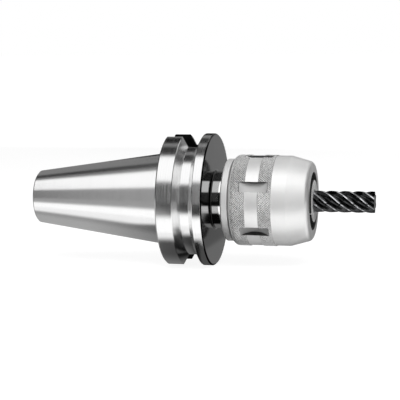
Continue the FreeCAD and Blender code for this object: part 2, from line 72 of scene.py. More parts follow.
SMALL_END = shank_box[0][0] / MM
NOSE_FRONT = shank_box[1][0] / MM
RIM = 50.0
GAUGE_RADIUS = 34.925
TAPER_SLOPE = 3.5 / 24
SMALL_RADIUS = GAUGE_RADIUS + SMALL_END * TAPER_SLOPE
SMALL_CHAMFER = 1.0
RELIEF_START, RELIEF_RADIUS = 0.8, 34.2
FLANGE_REAR, FLANGE_FRONT, FLANGE_CHAMFER = 3.0, 38.0, 1.0
GROOVE_CENTRE, GROOVE_HALF_RIM, GROOVE_HALF_ROOT, GROOVE_ROOT = 23.2, 7.5, 3.17, 42.5
GROOVE_EASE = 0.25
SLOT_WIDTH, SLOT_FLOOR, SLOT_FRONT = 25.7, 35.4, 27.5
SLOT_CORNER = 1.2
NECK_RADIUS, NECK_FILLET = 21.5, 1.2
COLLAR_REAR, COLLAR_FRONT, COLLAR_RADIUS = 47.9, 49.4, 25.4
SHOULDER_RADIUS, SHOULDER_FRONT = 24.0, 64.4
RACE_REAR, RACE_FRONT, RACE_REAR_RADIUS, RACE_FRONT_RADIUS = 65.2, 104.3, 23.3, 22.8
NOSE_RADIUS, NOSE_CHAMFER = 20.0, 0.4
SHOULDER_SEAL, SHOULDER_SEAL_DEPTH = (52.4, 54.2), 1.2
SNAP_RING, SNAP_RING_DEPTH = (60.35, 61.45), 1.3
CAGE_STOP, CAGE_STOP_DEPTH = (107.35, 108.45), 1.1
WIPER_SEAL, WIPER_SEAL_DEPTH = (109.3, 110.8), 1.4
BORE_RADIUS, BORE_REAR = 16.0, 42.0
PRESET_BORE_RADIUS, PRESET_BORE_REAR = 12.5, 20.0
PRESET_THREAD_RADIUS, PRESET_THREAD_REAR = 8.0, -12.0
COOLANT_RADIUS = 4.0
PILOT_RADIUS, PILOT_DEPTH = 12.5, 6.0
STUD_RADIUS, STUD_DEPTH, STUD_PITCH, STUD_THREAD_DEPTH = 10.4, 58.0, 3.0, 1.5
STUD_THREAD_TURNS, STUD_ROOT_SHARE, STUD_CREST_SHARE = 14, 0.44, 0.06
DRILL_POINT = 3.84

RING_REAR, RING_FRONT = ring_box[0][0] / MM, 52.8
RING_RADIUS, RING_CHAMFER, RING_EASE = 31.0, 0.9, 0.3
SPIGOT_FRONT, SPIGOT_RADIUS = ring_box[1][0] / MM, 27.3
SPIGOT_SEAL, SPIGOT_SEAL_DEPTH = (57.4, 59.2), 1.3
RING_BORE, RING_RECESS, RING_RECESS_FRONT = 24.05, 25.6, 49.45

NUT_REAR, NUT_FRONT = nut_box[0][0] / MM, nut_box[1][0] / MM
NUT_REAR_RADIUS, NUT_REAR_ROUNDING = 30.9, 3.4
KNURL_RADIUS, KNURL_ROOT, BAND_RADIUS = 34.3, 33.86, 33.75
KNURL_DEPTH = KNURL_RADIUS - KNURL_ROOT
REAR_KNURL, FRONT_KNURL, KNURL_EDGE, KNURL_ROWS = (57.6, 66.3), (76.1, 85.8), 0.4, 5
KNURL_START, KNURL_START_ANGLE, KNURL_START_RADIUS = 0.85, math.radians(150), 32.0
KNURL_MARGIN, DIAMOND_CENTRE_EDGES = 0.012, 4
CONE_REAR, CONE_ANGLE, NOSE_ROUNDING = 96.5, math.radians(15.8), 4.0
OPENING_RADIUS, OPENING_CHAMFER = 21.5, 0.5
NUT_BORE_REAR, NUT_RACE_REAR = 106.5, 65.0
NUT_RACE_FRONT_RADIUS, NUT_RACE_REAR_RADIUS = 25.83, 26.36
NUT_LAND_RADIUS, COUNTERBORE_RADIUS, COUNTERBORE_FRONT = 26.9, 27.9, 61.2
SPANNER_SLOTS, SPANNER_TURN = 6, math.radians(7)
SPANNER_CENTRE, SPANNER_WIDTH, SPANNER_RADIUS, SPANNER_FLOOR = 72.5, 8.2, 14.85, 29.25
SPANNER_REACH, SPANNER_STEPS = (59, 86), 128
RETAINING_RING, RETAINING_RING_DEPTH = (63.05, 61.95), 0.7

COLLET_REAR, COLLET_FRONT = collet_box[0][0] / MM, collet_box[1][0] / MM
COLLET_RADIUS, COLLET_BORE, COLLET_CHAMFER = 16.0, 8.0, 0.5
SLIT_WIDTH, SLIT_LENGTH, SLITS = 1.2, 50.0, 3

MILL_REAR, MILL_TIP = mill_box[0][0] / MM, mill_box[1][0] / MM
MILL_RADIUS, MILL_CHAMFER = 8.0, 0.6
FLUTES, FLUTE_LEAD, FLUTE_START, FLUTE_FULL = 6, 60.0, 111.8, 117.8
FLUTE_DEPTH, FLUTE_STEP = 2.5, 1.0
# The tooth's section: share of the pitch from the cutting edge, and share of the flute's depth.
TOOTH = [
    (0.0, 0.0), (0.05, 0.35), (0.1, 0.62), (0.2, 0.92), (0.3, 1.0),
    (0.42, 0.88), (0.55, 0.6), (0.68, 0.28), (0.78, 0.05), (0.9, 0.02),
]
# The hollow in the cutter's end: how far in from the last step, and how much deeper.
END_HOLLOW = [(1.2, 0.35), (1.6, 0.25)]
BLACK, WHITE, WARM_WHITE, BLUE_WHITE = (0, 0, 0, 1), (1, 1, 1, 1), (1, 1, 0.995, 1), (0.96, 0.97, 1, 1)
BRASS_TINT = (0.86, 0.62, 0.30, 1)


class Wire:
    """A value in a finish. Sums on wires add their Math nodes."""

    def __init__(self, finish, socket):
        self.finish = finish
        self.socket = socket

    def __add__(self, other):
        return self.finish.maths("ADD", self, other)

    def __radd__(self, other):
        return self.finish.maths("ADD", other, self)

    def __sub__(self, other):
        return self.finish.maths("SUBTRACT", self, other)

    def __rsub__(self, other):
        return self.finish.maths("SUBTRACT", other, self)

    def __mul__(self, other):
        return self.finish.maths("MULTIPLY", self, other)

    def __rmul__(self, other):
        return self.finish.maths("MULTIPLY", other, self)

    def __truediv__(self, other):
        return self.finish.maths("DIVIDE", self, other)

    def __rtruediv__(self, other):
        return self.finish.maths("DIVIDE", other, self)


class Finish:
    """One surface finish, or the sky, built from shader nodes."""

    def __init__(self, tree):
        self.tree = tree
        tree.nodes.clear()

    def node(self, kind, settings=None, sockets=None, output=0):
        node = self.tree.nodes.new("ShaderNode" + kind)
        for name, value in (settings or {}).items():
            setattr(node, name, value)
        for name, value in (sockets or {}).items():
            if isinstance(value, Wire):
                self.tree.links.new(value.socket, node.inputs[name])
            else:
                node.inputs[name].default_value = value
        return Wire(self, node.outputs[output]) if node.outputs else node

    def maths(self, operation, *values):
        return self.node("Math", {"operation": operation}, dict(enumerate(values)))

    def vector(self, operation, *values):
        return self.node("VectorMath", {"operation": operation}, dict(enumerate(values)))

    def scaled(self, vector, factor):
        return self.node("VectorMath", {"operation": "SCALE"}, {0: vector, "Scale": factor})

    def step(self, value, low, high, start=0.0, end=1.0):
        """Rises smoothly from start at low to end at high."""
        ends = {"Value": value, "From Min": low, "From Max": high, "To Min": start, "To Max": end}
        return self.node("MapRange", {"interpolation_type": "SMOOTHSTEP"}, ends)

    def band(self, value, low, high, soft):
        """One between low and high, and zero outside them."""
        rise = self.step(value, low - soft, low + soft)
        return rise * self.step(value, high - soft, high + soft, 1.0, 0.0)

    def mix(self, share, first, second):
        return self.node("Mix", {"data_type": "RGBA"}, {0: share, 6: first, 7: second}, 2)

    def grey(self, low, high, share):
        return self.mix(share, (low, low, low, 1), (high, high, high, 1))

    def metal(self, tone, tint=WARM_WHITE):
        """Black at a tone of zero, and the tint at one."""
        return self.mix(tone, BLACK, tint)

    def outward(self, across, up, out, along=0.0):
        """The direction straight out from the axis, with a share along it."""
        return self.node("CombineXYZ", None, {0: along, 1: across / (out + TINY), 2: up / (out + TINY)})

    def place(self):
        """Where a point is on the piece: along the axis, across, up, and out from the axis, in mm."""
        coordinates = self.node("TexCoord", output=3)
        millimetres = self.scaled(coordinates, 1 / MM)
        along = self.node("SeparateXYZ", None, {0: millimetres})
        across, up = (Wire(self, along.socket.node.outputs[index]) for index in (1, 2))
        out = self.maths("SQRT", across * across + up * up)
        return millimetres, along, across, up, out

    def noise(self, vector, scale, detail=3.0, roughness=0.5):
        sockets = {"Vector": vector, "Scale": scale, "Detail": detail, "Roughness": roughness}
        return self.node("TexNoise", None, sockets)

    def lines(self, place, scale, detail=2.0):
        """Noise that changes along one direction only, as a lathe or a grinding wheel leaves it."""
        sockets = {"W": place, "Scale": scale, "Detail": detail}
        return self.node("TexNoise", {"noise_dimensions": "1D"}, sockets)

    def surface(self, sockets):
        shader = self.node("BsdfPrincipled", None, sockets)
        self.node("OutputMaterial", None, {"Surface": shader})


def new_finish(name):
    material = bpy.data.materials.new(name)
    material.use_nodes = True
    return material, Finish(material.node_tree)


def own_normal(finish):
    """The surface normal in the piece's own frame, so that a finish turns with its piece."""
    settings = {"vector_type": "NORMAL", "convert_from": "WORLD", "convert_to": "OBJECT"}
    return finish.node("VectorTransform", settings, {0: finish.node("NewGeometry", output=1)})


def turned_lines(finish, along, out, across, up, slope):
    """The surface normal tipped to and fro by fine tool lines that run round the axis."""
    line = finish.lines(along + out, 14.0) - 0.5
    outward = finish.outward(across, up, out, 1.0)
    tipped = finish.vector("ADD", own_normal(finish), finish.scaled(outward, line * slope))
    settings = {"vector_type": "NORMAL", "convert_from": "OBJECT", "convert_to": "WORLD"}
    return finish.node("VectorTransform", settings, {0: finish.vector("NORMALIZE", tipped)})


def make_chuck_steel():
    """Ground taper and lands, a polished neck and flange front, and plain turned bores, with painted shade
    on the flange front, its fillet and front chamfer, the bores, the drive slots and the nose.
    """
    material, finish = new_finish("chuck_ground_steel")
    place, along, across, up, out = finish.place()
    neck = finish.band(along, FLANGE_FRONT - 0.2, COLLAR_REAR, 0.1)
    # Flange front face: darkened below as painted shade, a darker copy of the neck's polished steel.
    face = neck * finish.step(out, NECK_RADIUS + 0.6, NECK_RADIUS + 1.6)
    # Fillet from flange front to neck: made near black below as painted shade.
    corner = FLANGE_FRONT + NECK_FILLET + HOLD
    fillet = neck * finish.step(along, corner, corner - 0.1)
    fillet = fillet * finish.step(out, NECK_RADIUS + NECK_FILLET, NECK_RADIUS + 1.0)
    # Front chamfer of the flange: a black line of painted shade.
    shaded_rim_edge = finish.band(along, FLANGE_FRONT - FLANGE_CHAMFER + 0.05, FLANGE_FRONT - 0.05, 0.03)
    groove = finish.band(along, GROOVE_CENTRE - GROOVE_HALF_RIM, GROOVE_CENTRE + GROOVE_HALF_RIM, 0.1)
    # Bores and inside of the shank: rougher turned steel, darkened below as painted shade.
    inside = finish.step(out, NOSE_RADIUS + 0.2, NOSE_RADIUS - 0.2)
    inside = inside * finish.step(along, SMALL_END + 0.8, SMALL_END + 0.2, 1.0, 0.9)
    aside, half = finish.maths("ABSOLUTE", across), SLOT_WIDTH / 2
    # Drive slots: their walls and floor are darkened below as painted shade, the walls to near black.
    slot = finish.band(along, FLANGE_REAR + 0.2, SLOT_FRONT + 0.2, 0.1)
    slot = slot * finish.step(aside, half + 0.15, half + 0.05) * finish.step(out, RIM - 0.05, RIM - 0.2)
    shaded_slot_floor = slot * finish.step(aside, half - 0.35, half - 0.55)
    shaded_wall = slot - shaded_slot_floor
    # The nose in front of the wiper seal: made near black below as painted shade in the nut's opening.
    shaded_nose = finish.step(along, WIPER_SEAL[1] + 0.05, WIPER_SEAL[1] + 0.25)
    streaks = finish.lines(along + out, 1.6, 4.0)
    cloud = finish.noise(place, 0.06)
    # Painted shade: the bores are darker.
    tone = 0.78 + 0.12 * streaks + 0.05 * cloud + 0.1 * neck - 0.35 * inside
    # Painted shade: the flange front, its fillet and its front chamfer are darkened here.
    tone = tone - 0.84 * face - 0.9 * fillet - 0.9 * shaded_rim_edge
    # Painted shade: the drive slots' walls and floor, and the nose, are darkened here.
    tone = tone - 0.85 * shaded_wall - 0.3 * shaded_slot_floor - 0.75 * shaded_nose
    rough = 0.11 + 0.09 * finish.lines(along + out, 0.7) + 0.03 * cloud
    rough = rough * (1 - neck) + 0.05 * neck + 0.05 * face + 0.25 * inside + 0.25 * slot + 0.3 * shaded_nose
    slope = (1 - neck) * 0.30 - 0.15 * groove
    colour = finish.metal(tone, WHITE)
    normal = turned_lines(finish, along, out, across, up, slope)
    finish.surface({"Base Color": colour, "Metallic": 1.0, "Roughness": rough, "Normal": normal})
    return material


def make_nut_steel():
    """Light satin plating, with painted shade in the knurl's grooves, the opening's bore and the rear edge,
    and dull milled slots darkened further as painted shade.
    """
    material, finish = new_finish("nut_satin_steel")
    place, along, across, up, out = finish.place()
    knurl = finish.band(along, *REAR_KNURL, 0.05) + finish.band(along, *FRONT_KNURL, 0.05)
    # Knurl grooves: darker than the points as painted shade, by an uneven amount.
    groove = knurl * finish.step(out, KNURL_ROOT + 0.22, KNURL_ROOT + 0.04)
    groove = groove * finish.step(out, KNURL_ROOT - 0.5, KNURL_ROOT - 0.1)
    behind = along - REAR_KNURL[0]
    off_centre = out - NUT_REAR_RADIUS
    reach = finish.maths("SQRT", behind * behind + off_centre * off_centre)
    root = NUT_REAR_ROUNDING - KNURL_DEPTH
    rounding = finish.band(along, NUT_REAR + KNURL_START, REAR_KNURL[0], 0.05)
    rounding = rounding * finish.step(out, KNURL_START_RADIUS, KNURL_START_RADIUS + 0.2)
    groove = groove + rounding * finish.step(reach, root + 0.22, root + 0.04)
    uneven = finish.step(finish.noise(place, 1.1, 1.0), 0.42, 0.58)
    groove = groove * (0.34 + 0.40 * uneven)
    # The opening's bore: darkened below as painted shade.
    bore = finish.step(out, OPENING_RADIUS + 0.4, OPENING_RADIUS + 0.1)
    bore = bore * finish.step(along, NUT_BORE_REAR, NUT_BORE_REAR - 0.2, 1.0, 0.6)
    # The nut's rear edge next to the dust ring: darkened below as painted shade in the gap.
    shaded_rear_edge = finish.step(along, NUT_REAR + 0.5, NUT_REAR + 0.2)
    # Spanner slots: duller milled finish, and darkened below as painted shade, the walls most.
    slot = finish.step(out, BAND_RADIUS - 0.15, BAND_RADIUS - 0.45)
    slot = slot * finish.band(along, *SPANNER_REACH, 0.5)
    directions = {0: own_normal(finish), 1: finish.outward(across, up, out)}
    facing = finish.node("VectorMath", {"operation": "DOT_PRODUCT"}, directions, 1)
    shaded_wall = slot * finish.step(facing, 0.5, 0.4)
    grain = finish.noise(place, 3.0, 3.0)
    cloud = finish.noise(place, 0.10)
    # Painted shade: the knurl's grooves are darker.
    tone = 0.89 + 0.06 * grain + 0.14 * cloud - groove
    # Painted shade: the bore, the rear edge, and the spanner slots with their walls, are darkened here.
    tone = tone - 0.8 * bore - 0.7 * shaded_rear_edge - 0.34 * slot - 0.6 * shaded_wall
    rough = 0.34 + 0.10 * grain + 0.13 * cloud + 0.22 * slot - 0.3 * shaded_wall
    metal = 0.85 - 0.45 * slot
    colour = finish.metal(tone)
    normal = turned_lines(finish, along, out, across, up, 0.10)
    finish.surface({"Base Color": colour, "Metallic": metal, "Roughness": rough, "Normal": normal})
    return material


def make_satin_steel(name, bright=0.9, rough_low=0.42):
    """Matt plated steel, with a fine grain and faint turned lines."""
    material, finish = new_finish(name)
    place, along, across, up, out = finish.place()
    grain = finish.noise(place, 9.0, 2.0)
    cloud = finish.noise(place, 0.08)
    tone = bright - 0.08 + 0.06 * grain + 0.05 * cloud + 0.03 * finish.lines(along, 2.0)
    rough = rough_low + 0.08 * grain + 0.06 * cloud
    colour = finish.metal(tone)
    normal = turned_lines(finish, along, out, across, up, 0.10)
    finish.surface({"Base Color": colour, "Metallic": 0.8, "Roughness": rough, "Normal": normal})
    return material


def make_plain_steel(name, low, high, shine, tint=WHITE):
    """Inner steel or brass parts: even metal with fine lines round the axis."""
    material, finish = new_finish(name)
    place, along, _, _, out = finish.place()
    cloud = finish.noise(place, 0.4)
    tone = low + (high - low) * cloud
    rough = shine + 0.12 * finish.lines(along + out, 3.0)
    colour = finish.metal(tone, tint)
    finish.surface({"Base Color": colour, "Metallic": 1.0, "Roughness": rough})
    return material


def make_collet_steel():
    """Light satin face and bore, and an outside darkened as painted shade, which shows as a dark ring in
    the nut's opening.
    """
    material, finish = new_finish("collet_ground_steel")
    place, along, _, _, out = finish.place()
    # The outside: made near black below as painted shade in the nut's opening.
    side = finish.step(out, COLLET_RADIUS - 0.45, COLLET_RADIUS - 0.25)
    grain = finish.noise(place, 1.6, 3.0)
    tone = 0.84 + 0.22 * grain - 0.92 * side
    rough = 0.42 + 0.12 * finish.lines(along + out, 3.0)
    colour = finish.metal(tone)
    finish.surface({"Base Color": colour, "Metallic": 0.2, "Roughness": rough})
    return material


def make_rubber():
    """Black nitrile rubber with a faint bloom."""
    material, finish = new_finish("seal_rubber")
    place = finish.place()[0]
    bloom = finish.noise(place, 0.9, 4.0)
    colour = finish.grey(0.010, 0.035, bloom)
    rough = 0.45 + 0.2 * finish.noise(place, 3.0)
    finish.surface({"Base Color": colour, "Metallic": 0.0, "Roughness": rough})
    return material


def make_cutter_finish():
    """Dark coated cutter: ground flutes, and lands of brighter metal with patches brightened further as
    painted highlight.
    """
    material, finish = new_finish("dark_coated_cutter")
    place, _, _, _, out = finish.place()
    land = finish.step(out, MILL_RADIUS - 0.12, MILL_RADIUS - 0.02)
    cloud = finish.noise(place, 0.5)
    # Patches on the lands, brightened below as painted highlight.
    land_glint = finish.step(finish.noise(place, 0.22, 2.0), 0.42, 0.58)
    tone = 0.045 + 0.03 * cloud + land * (0.22 + 0.66 * land_glint)
    rough = 0.06 + 0.06 * finish.noise(place, 2.0) + 0.05 * land
    colour = finish.metal(tone, BLUE_WHITE)
    finish.surface({"Base Color": colour, "Metallic": 1.0, "Roughness": rough})
    return material


def deselect_all():
    bpy.ops.object.select_all(action="DESELECT")


def edit(piece):
    deselect_all()
    piece.select_set(True)
    bpy.context.view_layer.objects.active = piece
    bpy.ops.object.mode_set(mode="EDIT")


def leave_edit():
    bpy.ops.object.mode_set(mode="OBJECT")


def pick(piece, kind, wanted):
    """Selects, in edit mode, the vertices, edges or faces that wanted says yes to."""
    mesh = bmesh.from_edit_mesh(piece.data)
    bpy.ops.mesh.select_mode(type=kind)
    bpy.ops.mesh.select_all(action="DESELECT")
    mesh = bmesh.from_edit_mesh(piece.data)
    for item in {"VERT": mesh.verts, "EDGE": mesh.edges, "FACE": mesh.faces}[kind]:
        if wanted(item):
            item.select_set(True)
    mesh.select_flush_mode()
    bmesh.update_edit_mesh(piece.data)


def radius_of(point):
    return math.hypot(point.y, point.z) / MM


def arc(centre, radius, start, end, segments):
    """Points of a round stretch of an outline, between two angles from the X direction."""
    points = []
    for index in range(segments + 1):
        angle = start + (end - start) * index / segments
        points.append((centre[0] + radius * math.cos(angle), centre[1] + radius * math.sin(angle)))
    return points


def ring_groove(stretch, rim, depth):
    """The four corners of a groove for a ring, sunk by depth from the rim."""
    start, end = stretch
    return [(start, rim), (start, rim - depth), (end, rim - depth), (end, rim)]


def turned(name, outline, steps=ROUND_STEPS):
    """A piece turned from its half section: the outline is drawn point by point and spun round the axis."""
    deselect_all()
    bpy.ops.mesh.primitive_plane_add(size=MM)
    piece = bpy.context.object
    piece.name = piece.data.name = name
    bpy.ops.object.mode_set(mode="EDIT")
    bpy.ops.mesh.select_mode(type="VERT")
    bpy.ops.mesh.select_all(action="SELECT")
    bpy.ops.mesh.merge(type="CENTER")
    along, out = outline[0]
    bpy.ops.transform.translate(value=(along * MM, 0, out * MM))
    for next_along, next_out in outline[1:] + outline[:1]:
        move = ((next_along - along) * MM, 0, (next_out - out) * MM)
        bpy.ops.mesh.extrude_region_move(TRANSFORM_OT_translate={"value": move})
        along, out = next_along, next_out
    bpy.ops.mesh.select_all(action="SELECT")
    bpy.ops.mesh.remove_doubles(threshold=TINY * MM)
    bpy.ops.mesh.spin(steps=steps, angle=FULL_TURN, center=(0, 0, 0), axis=(1, 0, 0))
    bpy.ops.mesh.select_all(action="SELECT")
    bpy.ops.mesh.remove_doubles(threshold=TINY * MM)
    bpy.ops.mesh.normals_make_consistent(inside=False)
    leave_edit()
    return piece


def cut_away(piece, cutter):
    """Cuts the cutter's shape out of the piece."""
    deselect_all()
    bpy.context.view_layer.objects.active = piece
    piece.select_set(True)
    cut = piece.modifiers.new("cut", "BOOLEAN")
    cut.operation = "DIFFERENCE"
    cut.solver = "EXACT"
    cut.object = cutter
    bpy.ops.object.modifier_apply(modifier=cut.name)
    bpy.data.objects.remove(cutter, do_unlink=True)


def round_axis(piece, count, first_turn=0.0):
    """Joins turned copies of a cutter into one, spaced evenly round the axis."""
    copies = [piece]
    for index in range(1, count):
        copy = piece.copy()
        copy.data = piece.data.copy()
        bpy.context.collection.objects.link(copy)
        copies.append(copy)
    for index, copy in enumerate(copies):
        edit(copy)
        bpy.ops.mesh.select_all(action="SELECT")
        turn = -(first_turn + FULL_TURN * index / count)
        bpy.ops.transform.rotate(value=turn, orient_axis="X", center_override=(0, 0, 0))
        leave_edit()
    deselect_all()
    for copy in copies:
        copy.select_set(True)
    bpy.context.view_layer.objects.active = piece
    bpy.ops.object.join()
    return piece


def block(name, low, high, ease=0.0):
    """A plain block between two corners, its edges along X rounded by ease."""
    deselect_all()
    middle = [(a + b) / 2 * MM for a, b in zip(low, high)]
    bpy.ops.mesh.primitive_cube_add(size=1)
    piece = bpy.context.object
    piece.name = piece.data.name = name
    bpy.ops.object.mode_set(mode="EDIT")
    bpy.ops.mesh.select_all(action="SELECT")
    bpy.ops.transform.resize(value=[(b - a) * MM for a, b in zip(low, high)])
    bpy.ops.transform.translate(value=middle)
    if ease:
        pick(piece, "EDGE", lambda edge: abs((edge.verts[0].co - edge.verts[1].co).normalized().x) > 0.9)
        bpy.ops.mesh.bevel(offset=ease * MM, segments=6, affect="EDGES")
    leave_edit()
    return piece


def finish_piece(piece, material, body, *nodes, slot=None):
    """Smooth shading, finish, the body it rides on and the nodes it stands for."""
    deselect_all()
    piece.select_set(True)
    bpy.context.view_layer.objects.active = piece
    bpy.ops.object.shade_smooth_by_angle(angle=SMOOTH_ANGLE)
    piece.data.materials.clear()
    piece.data.materials.append(material)
    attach(piece, body)
    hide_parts(*nodes)


def make_chuck_body(material):
    """Shank, flange, neck and clamping cylinder, with the drive slots cut through the flange."""
    stud_bottom = SMALL_END + STUD_DEPTH
    outline = [
        (SMALL_END, SMALL_RADIUS - SMALL_CHAMFER),
        (SMALL_END + SMALL_CHAMFER, SMALL_RADIUS + SMALL_CHAMFER * TAPER_SLOPE),
        (0, GAUGE_RADIUS),
        (RELIEF_START, RELIEF_RADIUS),
        (FLANGE_REAR, RELIEF_RADIUS),
        (FLANGE_REAR, RIM - FLANGE_CHAMFER),
        (FLANGE_REAR + FLANGE_CHAMFER, RIM),
        (GROOVE_CENTRE - GROOVE_HALF_RIM - GROOVE_EASE, RIM),
        (GROOVE_CENTRE - GROOVE_HALF_RIM + GROOVE_EASE / 2, RIM - GROOVE_EASE),
        (GROOVE_CENTRE - GROOVE_HALF_ROOT, GROOVE_ROOT),
        (GROOVE_CENTRE + GROOVE_HALF_ROOT, GROOVE_ROOT),
        (GROOVE_CENTRE + GROOVE_HALF_RIM - GROOVE_EASE / 2, RIM - GROOVE_EASE),
        (GROOVE_CENTRE + GROOVE_HALF_RIM + GROOVE_EASE, RIM),
        (FLANGE_FRONT - FLANGE_CHAMFER, RIM),
        (FLANGE_FRONT, RIM - FLANGE_CHAMFER),
        (FLANGE_FRONT, NECK_RADIUS + NECK_FILLET + HOLD),
    ]
    fillet_centre = (FLANGE_FRONT + NECK_FILLET, NECK_RADIUS + NECK_FILLET)
    outline += arc(fillet_centre, NECK_FILLET, math.pi, 1.5 * math.pi, segments=9)
    outline += [
        (FLANGE_FRONT + NECK_FILLET + HOLD, NECK_RADIUS),
        (COLLAR_REAR, NECK_RADIUS),
        (COLLAR_REAR, COLLAR_RADIUS),
        (COLLAR_FRONT, COLLAR_RADIUS),
        (COLLAR_FRONT, SHOULDER_RADIUS),
        *ring_groove(SHOULDER_SEAL, SHOULDER_RADIUS, SHOULDER_SEAL_DEPTH),
        *ring_groove(SNAP_RING, SHOULDER_RADIUS, SNAP_RING_DEPTH),
        (SHOULDER_FRONT, SHOULDER_RADIUS),
        (RACE_REAR, RACE_REAR_RADIUS),
        (RACE_FRONT, RACE_FRONT_RADIUS),
        (RACE_FRONT, NOSE_RADIUS),
        *ring_groove(CAGE_STOP, NOSE_RADIUS, CAGE_STOP_DEPTH),
        *ring_groove(WIPER_SEAL, NOSE_RADIUS, WIPER_SEAL_DEPTH),
        (NOSE_FRONT - NOSE_CHAMFER, NOSE_RADIUS),
        (NOSE_FRONT, NOSE_RADIUS - NOSE_CHAMFER),
        (NOSE_FRONT, BORE_RADIUS + NOSE_CHAMFER),
        (NOSE_FRONT - NOSE_CHAMFER, BORE_RADIUS),
        (BORE_REAR, BORE_RADIUS),
        (BORE_REAR, PRESET_BORE_RADIUS),
        (PRESET_BORE_REAR, PRESET_BORE_RADIUS),
        (PRESET_BORE_REAR, PRESET_THREAD_RADIUS),
        (PRESET_THREAD_REAR, PRESET_THREAD_RADIUS),
        (PRESET_THREAD_REAR, COOLANT_RADIUS),
        (stud_bottom + DRILL_POINT, COOLANT_RADIUS),
        (stud_bottom, STUD_RADIUS),
    ]
    thread_start = SMALL_END + PILOT_DEPTH
    for turn in reversed(range(STUD_THREAD_TURNS)):
        crest = thread_start + STUD_PITCH * (turn + 0.5)
        outline += [
            (crest + STUD_PITCH * STUD_ROOT_SHARE, STUD_RADIUS),
            (crest + STUD_PITCH * STUD_CREST_SHARE, STUD_RADIUS + STUD_THREAD_DEPTH),
            (crest - STUD_PITCH * STUD_CREST_SHARE, STUD_RADIUS + STUD_THREAD_DEPTH),
            (crest - STUD_PITCH * STUD_ROOT_SHARE, STUD_RADIUS),
        ]
    outline += [
        (thread_start, STUD_RADIUS),
        (thread_start, PILOT_RADIUS),
        (SMALL_END + SMALL_CHAMFER / 2, PILOT_RADIUS),
        (SMALL_END, PILOT_RADIUS + SMALL_CHAMFER / 2),
    ]
    body = turned("chuck_body_ground", outline)
    half = SLOT_WIDTH / 2
    low, high = (-CLEAR, -half, SLOT_FLOOR), (SLOT_FRONT, half, RIM + CLEAR)
    slot = block("drive_slot_cutter", low, high, SLOT_CORNER)
    cut_away(body, round_axis(slot, 2))
    finish_piece(body, material, "chuck", "chuck_body", slot="ground_steel")


def make_dust_ring(material):
    outline = [
        (RING_REAR, RING_RADIUS - RING_CHAMFER),
        (RING_REAR + RING_CHAMFER, RING_RADIUS),
        (RING_FRONT - RING_EASE, RING_RADIUS),
        (RING_FRONT, RING_RADIUS - RING_EASE),
        (RING_FRONT, SPIGOT_RADIUS),
        *ring_groove(SPIGOT_SEAL, SPIGOT_RADIUS, SPIGOT_SEAL_DEPTH),
        (SPIGOT_FRONT - RING_EASE, SPIGOT_RADIUS),
        (SPIGOT_FRONT, SPIGOT_RADIUS - RING_EASE),
        (SPIGOT_FRONT, RING_BORE),
        (RING_RECESS_FRONT, RING_BORE),
        (RING_RECESS_FRONT, RING_RECESS),
        (RING_REAR, RING_RECESS),
    ]
    ring = turned("rear_dust_ring_turned", outline)
    finish_piece(ring, material, "dust_ring", "rear_dust_ring", slot="satin_steel")


def knurl_rows(stretch):
    start, end = stretch
    return [(start + (end - start) * row / KNURL_ROWS, KNURL_ROOT) for row in range(KNURL_ROWS + 1)]


def knurl_root_at(along):
    """The knurl's root radius: even along a band, and following the rounding behind the rear one."""
    behind = REAR_KNURL[0] - along
    if behind <= 0:
        return KNURL_ROOT
    reach = NUT_REAR_ROUNDING - KNURL_DEPTH
    return NUT_REAR_RADIUS + math.sqrt(max(reach * reach - behind * behind, 0))


def roll_knurl(nut, stretch):
    """Turns the square grid of a band into diamonds and raises each to a point."""
    start, end = stretch[0] - TINY, stretch[1] + TINY

    def in_band(vertex):
        along = vertex.co.x / MM
        return start < along < end and abs(radius_of(vertex.co) - knurl_root_at(along)) < KNURL_DEPTH / 2

    edit(nut)
    pick(nut, "FACE", lambda face: all(in_band(vertex) for vertex in face.verts))
    bpy.ops.mesh.poke()
    mesh = bmesh.from_edit_mesh(nut.data)
    mesh.normal_update()

    def is_grid_line(edge):
        if not all(in_band(vertex) for vertex in edge.verts):
            return False
        if any(len(vertex.link_edges) == DIAMOND_CENTRE_EDGES for vertex in edge.verts):
            return False
        places = [vertex.co.x / MM for vertex in edge.verts]
        return max(places) > start + KNURL_MARGIN and min(places) < end - KNURL_MARGIN

    pick(nut, "EDGE", is_grid_line)
    bpy.ops.mesh.dissolve_edges(use_verts=False)
    pick(nut, "FACE", lambda face: all(in_band(vertex) for vertex in face.verts))
    bpy.ops.mesh.poke(offset=KNURL_DEPTH * MM)
    leave_edit()


